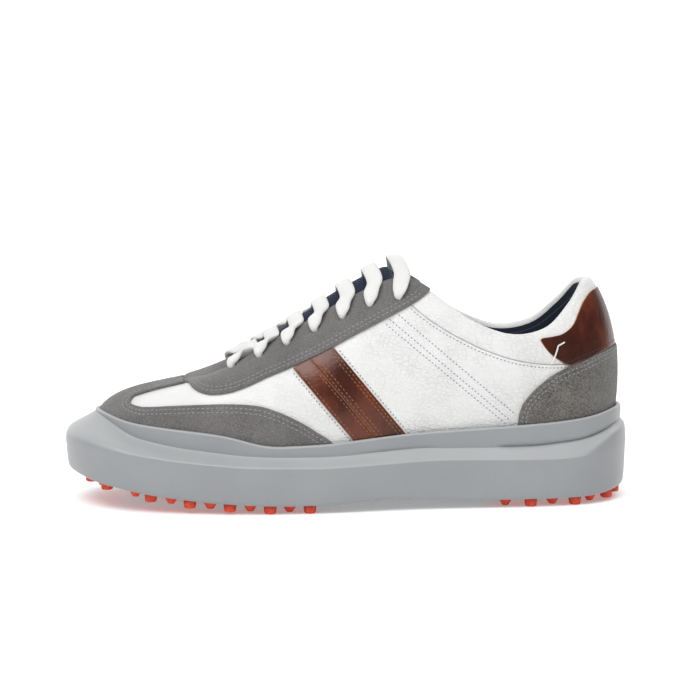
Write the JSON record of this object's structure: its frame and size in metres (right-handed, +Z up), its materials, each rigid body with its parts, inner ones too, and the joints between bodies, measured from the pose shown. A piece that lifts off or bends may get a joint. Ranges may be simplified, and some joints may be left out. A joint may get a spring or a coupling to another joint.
{
  "type": "golf shoe",
  "caption": "Left low-top spikeless golf shoe with a cup sole, nubbed tread, suede and leather overlays, straight-bar lace, hinged tongue and lift-out footbed.",
  "frame": {"origin": "on the ground plane, under the middle of the sole's box", "axes": "+X from heel to toe, +Y to the outer (lateral) side of this left shoe, +Z up"},
  "size_m": [0.304, 0.111, 0.1309],
  "materials": {
    "midsole_foam": "moulded satin foam rubber",
    "outsole_rubber": "matt rubber",
    "nub_rubber": "matt red rubber",
    "white_leather": "pebbled grain, satin",
    "grey_suede": "suede nap, matt",
    "brown_leather": "burnished, semi-gloss",
    "navy_lining": "knitted textile, matt",
    "white_lace": "flat weave",
    "lace_tip": "clear glossy tip",
    "insole_board": "fibre board",
    "stiffener": "moulded fibre",
    "shank_steel": "plain spring steel",
    "cushion_foam": "open foam"
  },
  "bodies": {
    "shoe": {"vamp": "white_leather", "quarter_lateral": "white_leather", "quarter_medial": "white_leather", "collar_cover": "white_leather", "vamp_lining": "navy_lining", "quarter_lining_lateral": "navy_lining", "quarter_lining_medial": "navy_lining", "heel_counter": "stiffener", "toe_puff": "stiffener", "collar_foam": "cushion_foam", "eyestay": "grey_suede", "toe_guard": "grey_suede", "stripe_front_lateral": "brown_leather", "stripe_rear_lateral": "brown_leather", "stripe_front_medial": "brown_leather", "stripe_rear_medial": "brown_leather", "heel_guard": "grey_suede", "heel_tab_lateral": "brown_leather", "heel_tab_medial": "brown_leather", "midsole_cup": "midsole_foam", "outsole_plate": "outsole_rubber", "heel_nubs_lateral": "nub_rubber", "heel_nubs_medial": "nub_rubber", "heel_nubs_back": "nub_rubber", "forefoot_nubs_lateral": "nub_rubber", "forefoot_nubs_medial": "nub_rubber", "toe_nubs": "nub_rubber", "forefoot_nubs_middle": "nub_rubber", "heel_nubs_middle": "nub_rubber", "insole_board": "insole_board", "shank": "shank_steel", "lace": "white_lace", "lace_tip_lateral": "lace_tip", "lace_tip_medial": "lace_tip"},
    "tongue": {"tongue_face": "navy_lining", "tongue_foam": "cushion_foam", "tongue_lining": "navy_lining"},
    "footbed": {"footbed_foam": "cushion_foam", "footbed_cover": "navy_lining"}
  },
  "joints": [
    {"name": "tongue_hinge", "type": "hinge", "parent": "shoe", "child": "tongue", "pos_m": [0.094, 0, 0.055], "axis": [0, 1, 0], "range_deg": [-6, 0], "stiffness_Nm_per_rad": 0.6, "springref_deg": 2.86},
    {"name": "footbed_hinge", "type": "hinge", "parent": "shoe", "child": "footbed", "pos_m": [0.129, 0, 0.034], "axis": [0, 1, 0], "range_deg": [0, 7]}
  ]
}
